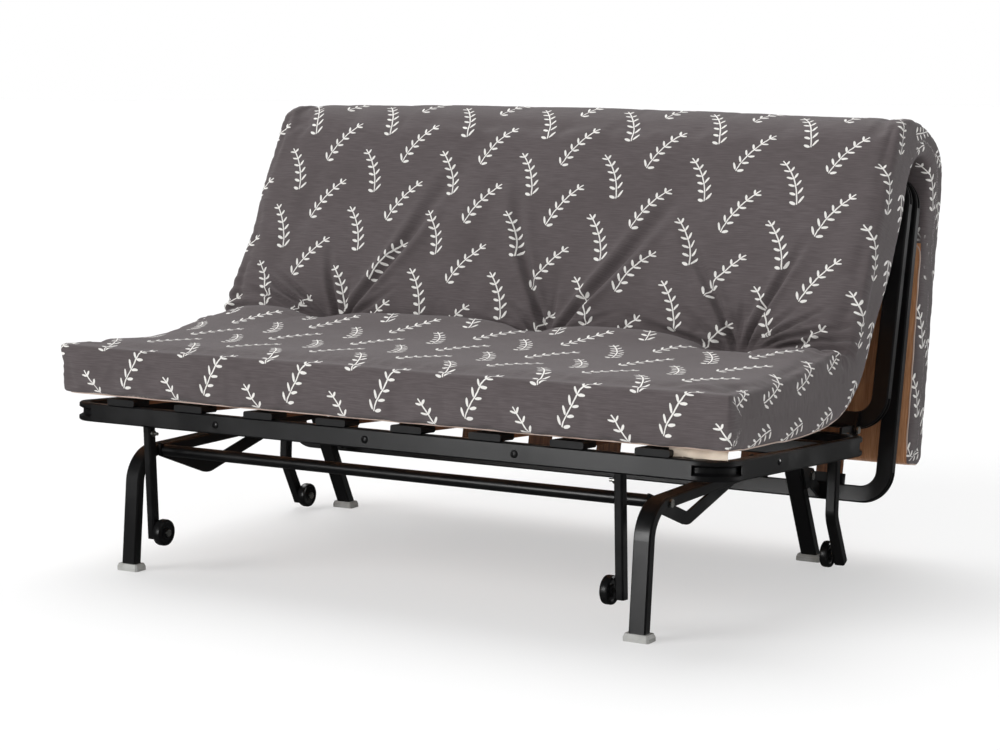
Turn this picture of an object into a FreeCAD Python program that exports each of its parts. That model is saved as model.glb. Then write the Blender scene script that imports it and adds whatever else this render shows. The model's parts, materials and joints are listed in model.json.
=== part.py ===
"""Sofa bed: a base on four feet, three hinged slatted sections and one folded mattress.

Millimetres. +X runs along the seat, -Y is the front, +Z is up, and the floor is at Z = 0.
The front section is the seat, a cart on four wheels. The middle section is the backrest and the
rear section stands behind it. Pulling the seat forwards lays the three flat in one plane.
"""
import FreeCAD, Part
import math
import os
import re
import Sketcher
from FreeCAD import Placement, Rotation, Vector

# Driving dimensions: each becomes a named cell of the document's sheet
DIMENSIONS = {
    # Base: two bent side tubes, raked rear legs, one cross tube
    "base_x": 540.0, "base_wide": 32.0, "base_thick": 20.0, "base_bend": 60.0,
    "front_foot_y": -474.5, "front_corner_y": -452.0, "rail_z": 220.0, "rail_end_y": 147.0,
    "rear_foot_y": 236.2, "rear_leg_top_y": 141.8, "wall": 2.0, "tube_edge": 2.6,
    "cross_y": -393.0, "cross_z": 219.0, "cross_diameter": 22.0,
    "foot_long": 49.0, "foot_deep": 31.0, "foot_edge": 3.5, "foot_rim": 7.0, "foot_cap": 6.0,
    "foot_taper": 26.0,
    # Pivot of the rear section on the base
    "pivot_y": 188.0, "pivot_z": 173.0, "pin": 8.0, "pin_hole": 8.1, "pin_head": 14.0,
    "head_thick": 4.0, "plate": 5.0, "leaf_gap": 0.5, "plate_edge": 4.0,
    "pivot_plate_round": 13.0, "pivot_plate_front": 147.0, "pivot_plate_top": 198.0,
    "pivot_plate_low": 150.0, "pivot_plate_foot": 165.0,
    "arm_x": 549.0, "arm_round": 11.0,
    # Bent flat bars that stay the seat on the base
    "stay_x": 519.0, "stay_thick": 5.0, "stay_wide": 25.0, "stay_bend": 45.0,
    "stay_front_y": -406.0, "stay_front_z": 222.0, "stay_low_y": -262.0, "stay_low_z": 166.0,
    "stay_rear_y": 12.0, "stay_rear_z": 229.0,
    # Seat section
    "seat_y": -462.0, "seat_z": 292.5, "seat_tilt": 4.1, "seat_long": 609.5,
    "seat_tall": 35.0, "seat_thick": 20.0, "seat_side_x": 684.0, "seat_bend": 52.0,
    "split_x": 520.0, "mid_rail_y": 466.0, "mid_rail_tall": 30.0,
    # Crimp pressed into the outside of every corner bend, as shares of the tube
    "crimp_open": 0.5, "crimp_floor": 0.24, "crimp_deep": 0.38, "crimp_wall": 2.0,
    # Wheels and their legs, in the seat section's own frame
    "wheel": 50.0, "wheel_wide": 17.0, "wheel_shoulder": 2.5, "axle_head": 13.0,
    "front_wheel_x": 475.0, "front_wheel_y": 21.5, "wheel_drop": 216.5,
    "front_leg_x": 498.0, "front_leg_wide": 16.0, "leg_deep": 20.0, "leg_tail": 14.0,
    "rear_wheel_x": 600.0, "rear_wheel_y": 657.0, "rear_leg_x": 624.0, "rear_leg_wide": 20.0,
    "rear_leg_knee": 122.0, "rear_leg_bend": 45.0, "leg_bolt": 6.0, "leg_bolt_drop": 12.0,
    # Back and rear sections, made from the same tube
    "back_y": 222.3, "back_z": 280.0, "back_lean": 14.3, "back_long": 459.0,
    "rear_lean": 12.0, "rear_long": 594.0, "frame_wide": 32.0, "frame_thick": 20.0,
    "frame_side_x": 679.0, "frame_bend": 46.0,
    # Hinges between the sections
    "fold_gap": 24.0, "fold_drop": 20.0, "fold_x": 596.0, "fold_round": 10.0, "fold_root": 33.0,
    "join_x": 636.0, "join_gap": 70.0, "join_y": 50.17, "join_z": 20.59, "join_round": 9.0,
    # Slats and their plastic holders
    "slat_wide": 53.0, "slat_thick": 8.0, "slat_pitch": 160.0, "slat_count": 8.0, "slat_inset": 7.0,
    "slat_edge": 1.6, "holder_wide": 64.0, "holder_tall": 12.0, "holder_reach": 36.0,
    "holder_back": 10.0, "holder_play": 0.4, "holder_edge": 2.2,
    # Mattress: centre lines, thickness and the places where it bends
    "mattress_half": 700.0, "edge_run": 42.0, "edge_share": 0.5, "crown": 0.08,
    "mattress_z": 77.0, "mattress_under": 46.0, "mattress_over": 46.0, "mattress_front": -11.0,
    "front_round": 22.0, "rear_round": 12.0, "pad_gap": 1.5, "fold_share": 0.995,
    "bend_y": 32.88, "bend_z": 334.22, "bend_seat": 490.63, "bend_back_slope": 61.0,
    "bend_cut": 60.0, "back_pad_long": 555.8, "seat_swell": 60.0, "swell_mid": 0.3,
    "crown_front_y": 302.34, "crown_front_z": 820.35, "crown_rear_y": 456.28, "crown_rear_z": 767.04,
    "crown_cut": 40.0, "rear_slope": 99.2, "rear_pad_long": 592.0, "rear_under": 42.0,
    "rear_over": 41.0,
    "crown_top_y": 266.0, "crown_top_z": 862.0, "crown_back_y": 460.0, "crown_back_z": 808.0,
    "crown_top_round": 55.0, "crown_back_round": 105.0, "crown_hollow_y": 372.0,
    "crown_hollow_z": 786.0, "crown_hollow_round": 42.0,
    "tuft_x": 470.0, "tuft_deep": 34.0, "roll_drop": 6.0, "fold_belly": 24.0,
}

doc = FreeCAD.newDocument("sofa_bed")
sheet = doc.addObject("Spreadsheet::Sheet", "dims")
for row, (alias, value) in enumerate(DIMENSIONS.items(), start=1):
    sheet.set(f"A{row}", alias)
    sheet.set(f"B{row}", str(value))
    sheet.setAlias(f"B{row}", alias)
doc.recompute()

nodes = []


def bound(text):
    """The expression with every dimension's name pointing at its cell."""
    return re.sub(r"[a-z][a-z_]*\b(?!\()", lambda match: "dims." + match.group(0), text)


def size(text):
    """The expression's value now."""
    return float(sheet.evalExpression(bound(text)))


def slope_frame(y, z, turn):
    """A frame at (y, z) turned about X, with the turn in degrees."""
    return Placement(Vector(0, y, z), Rotation(Vector(1, 0, 0), turn))


WORLD = Placement()
SEAT = slope_frame(size("seat_y"), size("seat_z"), -size("seat_tilt"))
BACK = slope_frame(size("back_y"), size("back_z"), 90 - size("back_lean"))
FOLD_PIN = BACK.multVec(Vector(0, size("back_long + fold_gap"), -size("fold_drop")))
REAR_TURN = Rotation(Vector(1, 0, 0), -90 - size("rear_lean"))
REAR = Placement(FOLD_PIN - REAR_TURN.multVec(Vector(0, -size("fold_gap"), -size("fold_drop"))), REAR_TURN)
BACK_PAD = slope_frame(size("bend_y"), size("bend_z"), size("bend_back_slope"))
REAR_PAD = slope_frame(size("crown_rear_y"), size("crown_rear_z"), -size("rear_slope"))


# Sketching

def new_body(label, placement):
    body = doc.addObject("PartDesign::Body", label)
    body.Label = label
    body.Placement = placement
    nodes.append(body)
    return body


def origin_part(body, role):
    return next(part for part in body.Origin.OriginFeatures if part.Role == role)


def sketch_on(body, role, along="0", right="0"):
    """Sketch on an origin plane of the body, moved along its normal and to its right."""
    sketch = body.newObject("Sketcher::SketchObject", "Sketch")
    sketch.AttachmentSupport = [(origin_part(body, role), "")]
    sketch.MapMode = "FlatFace"
    sketch.setExpression("AttachmentOffset.Base.z", bound(along))
    sketch.setExpression("AttachmentOffset.Base.x", bound(right))
    return sketch


def drive(sketch, constraint, name, text):
    """Add a dimension and tie it to the sheet."""
    index = sketch.addConstraint(constraint)
    sketch.renameConstraint(index, name)
    sketch.setExpression("Constraints." + name, bound(text))


def pin_point(sketch, geometry, position, corner, name):
    """Hold a point of the sketch at a pair of expressions."""
    for kind, text, axis, letter in (("DistanceX", corner[0], -2, "x"), ("DistanceY", corner[1], -1, "y")):
        if abs(size(text)) < 1e-6:
            sketch.addConstraint(Sketcher.Constraint("PointOnObject", geometry, position, axis))
        else:
            dimension = Sketcher.Constraint(kind, -1, 1, geometry, position, size(text))
            drive(sketch, dimension, letter + name, text)


def fillet_arc(before, corner, after, radius):
    """Arc of the radius that touches both sides of a corner, and whether it runs anticlockwise."""
    back, ahead = (before - corner).normalize(), (after - corner).normalize()
    half = back.getAngle(ahead) / 2
    centre = corner + (back + ahead).normalize() * (radius / math.sin(half))
    run = radius / math.tan(half)
    start, end = corner + back * run, corner + ahead * run
    left_turn = (corner - before).cross(after - corner).z > 0
    first, last = (start, end) if left_turn else (end, start)
    angles = [math.atan2(point.y - centre.y, point.x - centre.x) for point in (first, last)]
    arc = Part.ArcOfCircle(Part.Circle(centre, Vector(0, 0, 1), radius), *angles)
    return arc, start, end, left_turn


def outline(sketch, corners, radii, closed=True):
    """Lines through corners given as expressions, with an arc at each corner that has a radius."""
    tag = f"g{sketch.GeometryCount}_"
    points = [Vector(size(x), size(y), 0) for x, y in corners]
    count = len(points)
    inner = range(count) if closed else range(1, count - 1)
    starts, ends, arcs = list(points), list(points), {}
    for index in inner:
        if radii[index]:
            arcs[index] = fillet_arc(points[index - 1], points[index], points[(index + 1) % count],
                                     size(radii[index]))
            ends[index], starts[index] = arcs[index][1], arcs[index][2]
    sides = range(count) if closed else range(count - 1)
    lines = {side: sketch.addGeometry(Part.LineSegment(starts[side], ends[(side + 1) % count]))
             for side in sides}
    for index in range(count):
        before, after = lines.get((index - 1) % count), lines.get(index)
        name = f"{tag}{index}"
        if index not in arcs:
            if before is not None and after is not None:
                sketch.addConstraint(Sketcher.Constraint("Coincident", before, 2, after, 1))
            held = (after, 1) if after is not None else (before, 2)
            pin_point(sketch, *held, corners[index], name)
            continue
        arc, _, _, left_turn = arcs[index]
        bend = sketch.addGeometry(arc)
        near, far = (1, 2) if left_turn else (2, 1)
        sketch.addConstraint(Sketcher.Constraint("Tangent", before, 2, bend, near))
        sketch.addConstraint(Sketcher.Constraint("Tangent", bend, far, after, 1))
        drive(sketch, Sketcher.Constraint("Radius", bend, size(radii[index])), "r" + name, radii[index])
        corner = sketch.addGeometry(Part.Point(points[index]), True)
        pin_point(sketch, corner, 1, corners[index], name)
        sketch.addConstraint(Sketcher.Constraint("PointOnObject", corner, 1, before))
        sketch.addConstraint(Sketcher.Constraint("PointOnObject", corner, 1, after))


def box_corners(x, y, wide, tall):
    """Corners of a rectangle about (x, y), anticlockwise from the lower left."""
    return [(f"{x} {a} ({wide}) / 2", f"{y} {b} ({tall}) / 2")
            for a, b in (("-", "-"), ("+", "-"), ("+", "+"), ("-", "+"))]


def cut_corners(x, y, wide, tall, cut):
    """Corners of such a rectangle with its edges broken by a flat, in the same order."""
    far_x, far_y = f"({wide}) / 2", f"({tall}) / 2"
    near_x, near_y = f"({far_x} - {cut})", f"({far_y} - {cut})"
    return [(f"{x} - {near_x}", f"{y} - {far_y}"), (f"{x} + {near_x}", f"{y} - {far_y}"),
            (f"{x} + {far_x}", f"{y} - {near_y}"), (f"{x} + {far_x}", f"{y} + {near_y}"),
            (f"{x} + {near_x}", f"{y} + {far_y}"), (f"{x} - {near_x}", f"{y} + {far_y}"),
            (f"{x} - {far_x}", f"{y} + {near_y}"), (f"{x} - {far_x}", f"{y} - {near_y}")]


def rectangle(sketch, x, y, wide, tall, cut=None):
    corners = cut_corners(x, y, wide, tall, cut) if cut else box_corners(x, y, wide, tall)
    outline(sketch, corners, [None] * len(corners))


def circle(sketch, x, y, diameter):
    centre = Vector(size(x), size(y), 0)
    ring = sketch.addGeometry(Part.Circle(centre, Vector(0, 0, 1), size(diameter) / 2))
    drive(sketch, Sketcher.Constraint("Diameter", ring, size(diameter)), f"d{ring}", diameter)
    pin_point(sketch, ring, 3, (x, y), f"c{ring}")


# Features

def pad(body, sketch, length, reverse=False, taper=None):
    feature = body.newObject("PartDesign::Pad", "Pad")
    feature.Profile = sketch
    feature.setExpression("Length", bound(length))
    feature.Reversed = reverse
    if taper:
        feature.setExpression("TaperAngle", bound(taper))
    return feature


def pocket(body, sketch, length, reverse=False):
    feature = body.newObject("PartDesign::Pocket", "Pocket")
    feature.Profile = sketch
    feature.setExpression("Length", bound(length))
    feature.Reversed = reverse
    doc.recompute()
    if feature.Shape.Volume >= feature.BaseFeature.Shape.Volume - 1:
        raise RuntimeError(f"{body.Label}: a pocket cuts nothing")
    return feature


def pipe(body, profile, path):
    feature = body.newObject("PartDesign::AdditivePipe", "Pipe")
    feature.Profile = profile
    feature.Spine = path
    return feature


def both_sides(body, features):
    """Repeat the features on the other side of the body's YZ plane."""
    mirror = body.newObject("PartDesign::Mirrored", "Mirror")
    mirror.Originals = features
    mirror.MirrorPlane = (origin_part(body, "YZ_Plane"), [""])
    body.Tip = mirror


def row_along(body, features):
    """Repeat the features once for each slat."""
    row = body.newObject("PartDesign::LinearPattern", "Row")
    row.Originals = features
    row.Direction = (origin_part(body, "X_Axis"), [""])
    row.setExpression("Length", bound("slat_pitch * (slat_count - 1)"))
    row.setExpression("Occurrences", bound("slat_count"))
    body.Tip = row


def opposite(body, label):
    """The mirror image of a right-hand piece, as the left-hand piece."""
    image = doc.addObject("Part::Mirroring", label)
    image.Label = label
    image.Source = body
    image.Normal = Vector(1, 0, 0)
    nodes.append(image)


# Tubes

def tube_section(sketch, x, y, wide, tall):
    """Hollow rectangular tube with broken outer edges."""
    rectangle(sketch, x, y, wide, tall, "tube_edge")
    rectangle(sketch, x, y, f"{wide} - 2 * wall", f"{tall} - 2 * wall")


def crimped_section(sketch, x, wide, tall, out):
    """The tube's section at a corner bend: the outer wall is pressed in to a groove."""
    def across(text):
        return f"{x} {out} ({text})"

    outer, floor = f"{wide} / 2", f"{wide} * (0.5 - crimp_deep)"
    lip, base = f"{tall} * crimp_open / 2", f"{tall} * crimp_floor / 2"
    near, far, edge = f"{wide} / 2 - tube_edge", f"{tall} / 2", f"({tall} / 2 - tube_edge)"
    lower = [(across(f"-{outer}"), f"-{edge}"), (across(f"-({near})"), f"-{far}"), (across(near), f"-{far}"),
             (across(outer), f"-{edge}"), (across(outer), f"-({lip})"), (across(floor), f"-({base})")]
    upper = [(across(floor), base), (across(outer), lip), (across(outer), edge), (across(near), far),
             (across(f"-({near})"), far), (across(f"-{outer}"), edge)]
    outline(sketch, lower + upper, [None] * 12)
    inner, deep = f"wall - {wide} / 2", f"{wide} * (0.5 - crimp_deep) - crimp_wall"
    bore = f"{tall} / 2 - wall"
    outline(sketch, [(across(inner), f"-({bore})"), (across(deep), f"-({bore})"),
                     (across(deep), bore), (across(inner), bore)], [None] * 4)


def corner_bend(body, sketch):
    """A quarter turn of the crimped section about the sketch's upright axis."""
    bend = body.newObject("PartDesign::Revolution", "Bend")
    bend.Profile = sketch
    bend.ReferenceAxis = (sketch, ["V_Axis"])
    bend.Angle = 90


def side_tube(name, frame, long, side_x, wide, tall, bend):
    """One end of a section's frame: a long run, two crimped bends and two short returns."""
    body = new_body(name + "_right", frame)
    bend_x = f"{side_x} - {bend}"
    for y in ("0", long):
        leg = sketch_on(body, "YZ_Plane", "split_x")
        tube_section(leg, y, "0", wide, tall)
        pad(body, leg, f"{bend_x} - split_x")
    first = sketch_on(body, "YZ_Plane", bend_x, bend)
    crimped_section(first, f"-{bend}", wide, tall, "-")
    corner_bend(body, first)
    run = sketch_on(body, "XZ_Plane", f"-{bend}")
    tube_section(run, side_x, "0", wide, tall)
    pad(body, run, f"{long} - 2 * {bend}", reverse=True)
    second = sketch_on(body, "XZ_Plane", f"{bend} - {long}", bend_x)
    crimped_section(second, bend, wide, tall, "+")
    corner_bend(body, second)
    opposite(body, name + "_left")


def cross_rail(label, frame, y, wide, tall, half):
    """Straight tube across the object."""
    body = new_body(label, frame)
    sketch = sketch_on(body, "YZ_Plane", f"-({half})")
    tube_section(sketch, y, "0", wide, tall)
    pad(body, sketch, f"2 * ({half})")


def standing_tube(name, frame, x, path, radii, wide, deep, start_z):
    """Tube bent in an upright plane, whose section starts level at the height start_z."""
    body = new_body(name + "_right", frame)
    profile = sketch_on(body, "XY_Plane", start_z)
    tube_section(profile, x, path[0][0], wide, deep)
    spine = sketch_on(body, "YZ_Plane", x)
    outline(spine, path, radii, closed=False)
    pipe(body, profile, spine)
    opposite(body, name + "_left")


# Small hardware

def plate(label, frame, x, corners, radii, holes):
    """Flat plate in the YZ plane on both sides of the object."""
    body = new_body(label, frame)
    sketch = sketch_on(body, "YZ_Plane", x)
    outline(sketch, corners, radii)
    for y, z in holes:
        circle(sketch, y, z, "pin_hole")
    both_sides(body, [pad(body, sketch, "plate")])


def rods(label, frame, steps):
    """Turned pieces along X, given as (y, z, x, length, diameter), on both sides."""
    body = new_body(label, frame)
    features = []
    for y, z, x, length, diameter in steps:
        sketch = sketch_on(body, "YZ_Plane", x)
        circle(sketch, y, z, diameter)
        features.append(pad(body, sketch, length))
    both_sides(body, features)


def hinge_pin(label, frame, y, z, x):
    """Headed pin through two leaves that lie side by side, the first one at x."""
    rods(label, frame, [
        (y, z, f"{x} - head_thick", "head_thick", "pin_head"),
        (y, z, x, "2 * plate + 2 * leaf_gap", "pin"),
        (y, z, f"{x} + 2 * plate + 2 * leaf_gap", "head_thick", "pin_head")])


# Sub-parts

def base():
    path = [("front_foot_y", "foot_rim + foot_cap"), ("front_corner_y", "rail_z"), ("rail_end_y", "rail_z")]
    standing_tube("base_frame", WORLD, "base_x", path, [None, "base_bend", None],
                  "base_wide", "base_thick", "foot_rim + foot_cap")
    rail_under = "rail_z - base_thick / 2"
    deep = "base_thick * 1.1"
    standing_tube("base_rear_leg", WORLD, "base_x",
                  [("rear_leg_top_y", rail_under), ("rear_foot_y", "foot_rim + foot_cap")],
                  [None, None], "base_wide", deep, rail_under)
    body = new_body("base_cross_tube", WORLD)
    sketch = sketch_on(body, "YZ_Plane", "-stay_x")
    circle(sketch, "cross_y", "cross_z", "cross_diameter")
    circle(sketch, "cross_y", "cross_z", "cross_diameter - 2 * wall")
    pad(body, sketch, "2 * stay_x")
    foot("foot_front", "front_foot_y")
    foot("foot_rear", "rear_foot_y")
    pivot = [("pivot_plate_front", "pivot_plate_top"),
             ("pivot_y + pivot_plate_round", "pivot_z + pivot_plate_round"),
             ("pivot_y + pivot_plate_round", "pivot_z - pivot_plate_round"),
             ("pivot_plate_foot", "pivot_plate_low")]
    nose = "0.8 * pivot_plate_round"
    plate("pivot_plates", WORLD, "base_x + base_wide / 2", pivot,
          ["plate_edge", nose, nose, "plate_edge"], [("pivot_y", "pivot_z")])
    outside = "base_x + base_wide / 2 + plate"
    rods("pivot_bolts", WORLD, [
        ("pivot_y", "pivot_z", outside, "head_thick", "pin_head"),
        ("pivot_y", "pivot_z", "arm_x - leaf_gap", f"{outside} - arm_x + leaf_gap", "pin"),
        ("pivot_y", "pivot_z", "arm_x - leaf_gap - head_thick", "head_thick", "pin_head")])
    stay_bars()


def foot(name, y):
    """Foot cap with a straight rim and a sloped shoulder under the tube."""
    body = new_body(name + "_right", WORLD)
    rim = sketch_on(body, "XY_Plane")
    rectangle(rim, "base_x", y, "foot_long", "foot_deep", "foot_edge")
    pad(body, rim, "foot_rim")
    shoulder = sketch_on(body, "XY_Plane", "foot_rim")
    rectangle(shoulder, "base_x", y, "foot_long", "foot_deep", "foot_edge")
    pad(body, shoulder, "foot_cap", taper="-foot_taper")
    opposite(body, name + "_left")


def stay_bars():
    """Bent flat bar between each base rail and the cross tube, bolted through the rail."""
    body = new_body("stay_bar_right", WORLD)
    profile = sketch_on(body, "XZ_Plane", "-stay_front_y")
    rectangle(profile, "stay_x + stay_thick / 2", "stay_front_z", "stay_thick", "stay_wide")
    spine = sketch_on(body, "YZ_Plane", "stay_x + stay_thick / 2")
    outline(spine, [("stay_front_y", "stay_front_z"), ("stay_low_y", "stay_low_z"),
                    ("stay_rear_y", "stay_rear_z")], [None, "stay_bend", None], closed=False)
    pipe(body, profile, spine)
    opposite(body, "stay_bar_left")
    rods("stay_bolts", WORLD, [
        ("cross_y", "cross_z", "base_x + base_wide / 2", "head_thick", "pin_head")])


def holders(label, frame, tall, rows):
    """Plastic slat holders on rails; each row is a rail's place and the way to its slats."""
    body = new_body(label, frame)
    first = "-slat_pitch * (slat_count - 1) / 2"
    middle = f"{tall} / 2 + holder_tall / 2"
    features = []
    for y, way in rows:
        forward = way == "+"
        block = sketch_on(body, "XZ_Plane", f"-({y}) {'+' if forward else '-'} holder_back")
        rectangle(block, first, middle, "holder_wide", "holder_tall", "holder_edge")
        features.append(pad(body, block, "holder_back + holder_reach", reverse=forward))
        mouth = sketch_on(body, "XZ_Plane", f"-({y}) {'-' if forward else '+'} holder_reach")
        rectangle(mouth, first, middle, "slat_wide + 2 * holder_play", "slat_thick + 2 * holder_play")
        features.append(pocket(body, mouth, "holder_reach - slat_inset + holder_play", reverse=forward))
    row_along(body, features)


def slats(label, frame, tall, long):
    """Row of flat wooden slats between two rails."""
    body = new_body(label, frame)
    sketch = sketch_on(body, "XZ_Plane", "-slat_inset")
    rectangle(sketch, "-slat_pitch * (slat_count - 1) / 2", f"{tall} / 2 + holder_tall / 2",
              "slat_wide", "slat_thick", "slat_edge")
    row_along(body, [pad(body, sketch, f"{long} - 2 * slat_inset", reverse=True)])


def seat_section():
    tube = ("seat_thick", "seat_tall")
    cross_rail("seat_rail_front", SEAT, "0", *tube, "split_x")
    cross_rail("seat_rail_rear", SEAT, "seat_long", *tube, "split_x")
    side_tube("seat_side", SEAT, "seat_long", "seat_side_x", *tube, "seat_bend")
    cross_rail("seat_mid_rail", SEAT, "mid_rail_y", "seat_thick", "mid_rail_tall",
               "seat_side_x - seat_thick / 2")
    slats("seat_slats", SEAT, "seat_tall", "seat_long")
    holders("seat_holders_front", SEAT, "seat_tall", [("0", "+")])
    holders("seat_holders_rear", SEAT, "seat_tall", [("seat_long", "-")])
    under = "-seat_tall / 2"
    standing_tube("front_wheel_leg", SEAT, "front_leg_x",
                  [("0", under), ("front_wheel_y", "-wheel_drop - leg_tail")], [None, None],
                  "front_leg_wide", "leg_deep", under)
    standing_tube("rear_wheel_leg", SEAT, "rear_leg_x",
                  [("seat_long", under), ("seat_long", f"{under} - rear_leg_knee"),
                   ("rear_wheel_y + leg_tail / 2", "-wheel_drop - leg_tail")],
                  [None, "rear_leg_bend", None], "rear_leg_wide", "leg_deep", under)
    wheels()
    pin_y, pin_z = "seat_long + join_y", "join_z"
    top, low = f"{pin_z} + join_round", f"{pin_z} - join_round"
    tip = f"{pin_y} + join_round"
    plate("seat_hinge_brackets", SEAT, "join_x",
          [("seat_long - seat_thick / 2", "seat_tall / 2"), (f"{pin_y} - 2 * join_round", "seat_tall / 2"),
           (f"{pin_y} - join_round", low), (tip, low), (tip, top), ("seat_long - seat_thick / 2", top)],
          [None, None, None, "0.9 * join_round", "0.9 * join_round", "plate_edge"], [(pin_y, pin_z)])
    hinge_pin("seat_hinge_pins", SEAT, pin_y, pin_z, "join_x")
    rods("wheel_leg_bolts", SEAT, [
        ("front_wheel_y * leg_bolt_drop / wheel_drop", f"{under} - leg_bolt_drop",
         "front_leg_x - front_leg_wide / 2 - head_thick", "head_thick", "leg_bolt * 2"),
        ("front_wheel_y * leg_bolt_drop / wheel_drop", f"{under} - leg_bolt_drop",
         "front_leg_x - front_leg_wide / 2 - 3 * head_thick", "2 * head_thick", "leg_bolt")])


def wheels():
    """Four plain wheels on stub axles welded to the inner faces of their legs."""
    stubs = []
    for name, x, y, leg_face in (("front_wheel", "front_wheel_x", "front_wheel_y",
                                  "front_leg_x - front_leg_wide / 2"),
                                 ("rear_wheel", "rear_wheel_x", "rear_wheel_y",
                                  "rear_leg_x - rear_leg_wide / 2")):
        centre = SEAT.multVec(Vector(size(x), size(y), -size("wheel_drop")))
        wheel(name, Placement(centre, Rotation()))
        inner = f"{x} - wheel_wide / 2 - leaf_gap"
        stubs += [(y, "-wheel_drop", f"{inner} - head_thick", "head_thick", "axle_head"),
                  (y, "-wheel_drop", inner, f"{leg_face} - ({inner})", "pin")]
    rods("wheel_axles", SEAT, stubs)


def wheel(name, placement):
    """Plain wheel turned about X, with its tread's outer corner broken."""
    body = new_body(name + "_right", placement)
    sketch = sketch_on(body, "XY_Plane")
    half, bore = "wheel_wide / 2", "pin_hole / 2"
    profile = [(f"-{half}", bore), (half, bore), (half, "wheel / 2 - wheel_shoulder"),
               (f"{half} - wheel_shoulder", "wheel / 2"), (f"-{half}", "wheel / 2")]
    outline(sketch, profile, [None] * len(profile))
    turn = body.newObject("PartDesign::Revolution", "Turn")
    turn.Profile = sketch
    turn.ReferenceAxis = (sketch, ["H_Axis"])
    opposite(body, name + "_left")


def slatted_frame(name, frame, long, ends):
    """Bent tube frame with slats on its upper side; ends names the rails at 0 and at its far end."""
    tube = ("frame_wide", "frame_thick")
    for end, y in zip(ends, ("0", long)):
        cross_rail(f"{name}_bar_{end}", frame, y, *tube, "split_x")
    side_tube(f"{name}_side", frame, long, "frame_side_x", *tube, "frame_bend")
    slats(f"{name}_slats", frame, "frame_thick", long)
    holders(f"{name}_holders", frame, "frame_thick", [("0", "+"), (long, "-")])


def back_section():
    slatted_frame("back", BACK, "back_long", ("bottom", "top"))
    face = "frame_thick / 2"
    pin_y, pin_z = "join_y - join_gap", "join_z"
    top, low, tip = f"{pin_z} + join_round", f"{pin_z} - join_round", f"{pin_y} - join_round"
    plate("back_hinge_lugs", BACK, "join_x + plate + leaf_gap",
          [("join_round - frame_wide / 2 - plate_edge", face), ("frame_wide / 2", face),
           ("frame_wide / 2", "join_z"), (pin_y, top), (tip, top), (tip, low),
           ("join_round - frame_wide / 2 - plate_edge", low)],
          [None, None, "plate_edge", None, "0.9 * join_round", "0.9 * join_round", None], [(pin_y, pin_z)])
    fold_plate("top_hinge_plates_back", BACK, "fold_x", "back_long", "+")
    hinge_pin("top_hinge_pins", BACK, "back_long + fold_gap", "-fold_drop", "fold_x")


def fold_plate(label, frame, x, bar_y, way):
    """Hinge leaf under a bar, reaching past it to the fold's pin."""
    def ahead(text):
        return f"{bar_y} {way} ({text})"

    under = "-frame_thick / 2"
    deep = "-fold_drop - fold_round"
    plate(label, frame, x,
          [(ahead("fold_gap - fold_root"), under), (ahead("fold_gap + fold_round"), under),
           (ahead("fold_gap + fold_round"), deep), (ahead("fold_gap - fold_round / 4"), deep)],
          [None, "0.9 * fold_round", "0.9 * fold_round", "plate_edge"],
          [(ahead("fold_gap"), "-fold_drop")])


def rear_section():
    slatted_frame("rear", REAR, "rear_long", ("top", "bottom"))
    pivot = REAR.inverse().multVec(Vector(0, size("pivot_y"), size("pivot_z")))
    pin_y, pin_z = f"{pivot.y:.4f}", f"{pivot.z:.4f}"
    low = f"{pin_z} - arm_round"
    under = "-frame_thick / 2"
    plate("rear_pivot_arms", REAR, "arm_x",
          [("rear_long - arm_round", under), (f"{pin_y} - arm_round", low), (f"{pin_y} + arm_round", low),
           ("rear_long + arm_round", under)],
          [None, "0.9 * arm_round", "0.9 * arm_round", None], [(pin_y, pin_z)])
    fold_plate("top_hinge_plates_rear", REAR, "fold_x + plate + leaf_gap", "0", "-")


# Mattress

def across_mattress():
    """Places across the mattress with their share of its thickness: round rims and a low crown."""
    right = []
    for degrees in (0, 30, 60, 90):
        turn = math.radians(degrees)
        right.append((f"mattress_half - edge_run * {1 - math.cos(turn):.4f}",
                      f"(edge_share + (1 - edge_share) * {math.sin(turn):.4f})"))
    right.append(("mattress_half / 2", "(1 + crown * 3 / 4)"))
    left = [(f"-({x})", share) for x, share in right]
    return left + [("0", "(1 + crown)")] + right[::-1]


def soft_loft(label, frame, stations, draw):
    """Loft across the object through one closed profile at each station."""
    body = new_body(label, frame)
    sections = []
    for station in stations:
        sketch = sketch_on(body, "YZ_Plane", station[0])
        draw(sketch, *station[1:])
        sections.append(sketch)
    loft = body.newObject("PartDesign::AdditiveLoft", "Loft")
    loft.Profile = sections[0]
    loft.Sections = sections[1:]
    loft.Ruled = True


def cushion(label, frame, start, end, line, under, over, swell=None, rounds=(None, None)):
    """Padded length of the mattress: crowned over, drawn in at both sides, its end lifted by a swell."""
    def draw(sketch, share):
        low, high = f"{line} - {under} * min(1; {share})", f"{line} + {over} * {share}"
        corners = [(start, low), (end, low), (end, high), (start, high)]
        radii = [rounds[0], rounds[1], rounds[1], rounds[0]]
        if swell:
            corners[2] = (end, f"{high} + {swell} * {share}")
            corners.insert(3, (f"({start} + {end}) / 2", f"{high} + {swell} * {share} * swell_mid"))
            radii.insert(3, None)
        outline(sketch, corners, radii)

    soft_loft(label, frame, across_mattress(), draw)


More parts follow.
